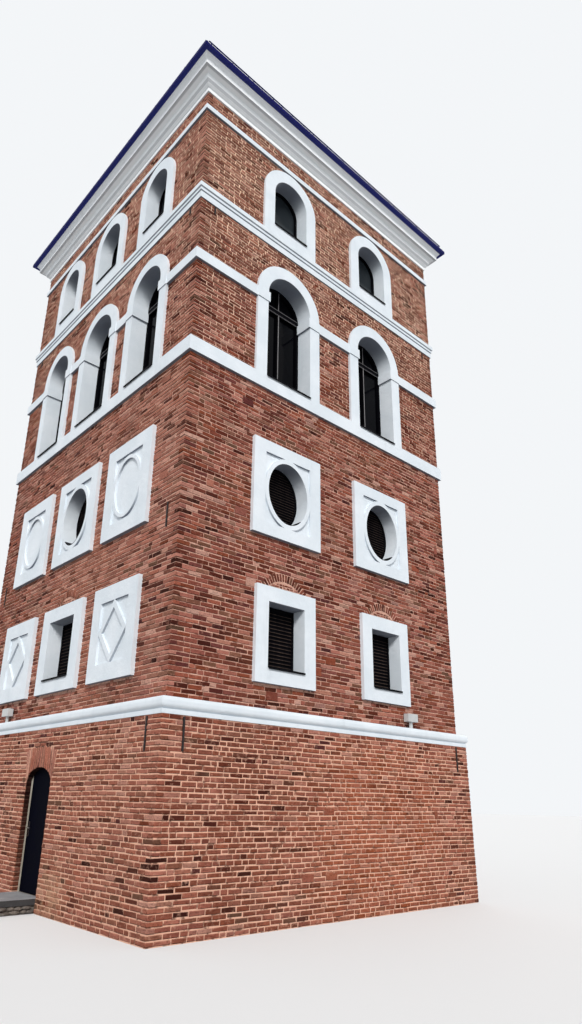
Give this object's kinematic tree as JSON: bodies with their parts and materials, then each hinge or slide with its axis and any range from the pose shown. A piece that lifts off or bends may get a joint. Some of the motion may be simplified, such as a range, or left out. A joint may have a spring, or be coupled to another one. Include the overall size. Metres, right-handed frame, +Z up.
{
  "type": "square brick bell tower",
  "caption": "Square brick bell tower with white plaster bands, round-headed windows, oval and square louvred windows, a deep cornice, a low hipped roof and a hinged door.",
  "frame": {"origin": "middle of the shaft's plan, on the ground face", "axes": "+Z up, -Y out of the door side, +X along the door side to its right as seen from outside"},
  "size_m": [8.22, 8.535, 18.0804],
  "materials": {
    "brick": "matte",
    "plaster": "matte",
    "roof_metal": "satin",
    "louvre": "satin",
    "window_iron": "satin",
    "sill_metal": "satin",
    "glass": "gloss",
    "iron": "matte",
    "lamp_metal": "satin",
    "floor_paving": "matte",
    "floor_boards": "matte",
    "step_stone": "matte",
    "footing_stone": "matte",
    "door_frame_paint": "matte",
    "door_paint": "satin",
    "handle_steel": "satin"
  },
  "bodies": {
    "tower": {"attic_back": "brick", "attic_cornice": "plaster", "attic_front": "brick", "attic_left": "brick", "attic_right": "brick", "attic_surrounds": "plaster", "base_back": "brick", "base_front_left": "brick", "base_front_right": "brick", "base_left": "brick", "base_moulding": "plaster", "base_over_door": "brick", "base_right": "brick", "belfry_back": "brick", "belfry_front": "brick", "belfry_left": "brick", "belfry_right": "brick", "diamond_plaques": "plaster", "door_frame": "door_frame_paint", "door_step": "step_stone", "eave_edge": "roof_metal", "floodlights": "lamp_metal", "ground_floor": "floor_paving", "hinge_pins": "iron", "impost_band": "plaster", "main_cornice": "plaster", "metal_sills": "sill_metal", "oculus_louvres": "louvre", "oculus_surrounds": "plaster", "roof_covering": "roof_metal", "roundel_plaques": "plaster", "shaft_back": "brick", "shaft_front": "brick", "shaft_left": "brick", "shaft_right": "brick", "sill_band": "plaster", "snow_guard": "roof_metal", "square_louvres": "louvre", "square_surrounds": "plaster", "step_footing": "footing_stone", "string_course": "plaster", "tall_surrounds": "plaster", "upper_floors": "floor_boards", "wall_anchors": "iron", "window_frames": "window_iron", "window_glass": "glass"},
    "door": {"door_leaf": "door_paint", "door_handle": "handle_steel", "hinge_straps": "iron"}
  },
  "joints": [
    {"name": "door_hinge", "type": "hinge", "parent": "tower", "child": "door", "pos_m": [0.466, -3.5807, 0.22], "axis": [0, 0, -1], "range_deg": [0, 90]}
  ]
}
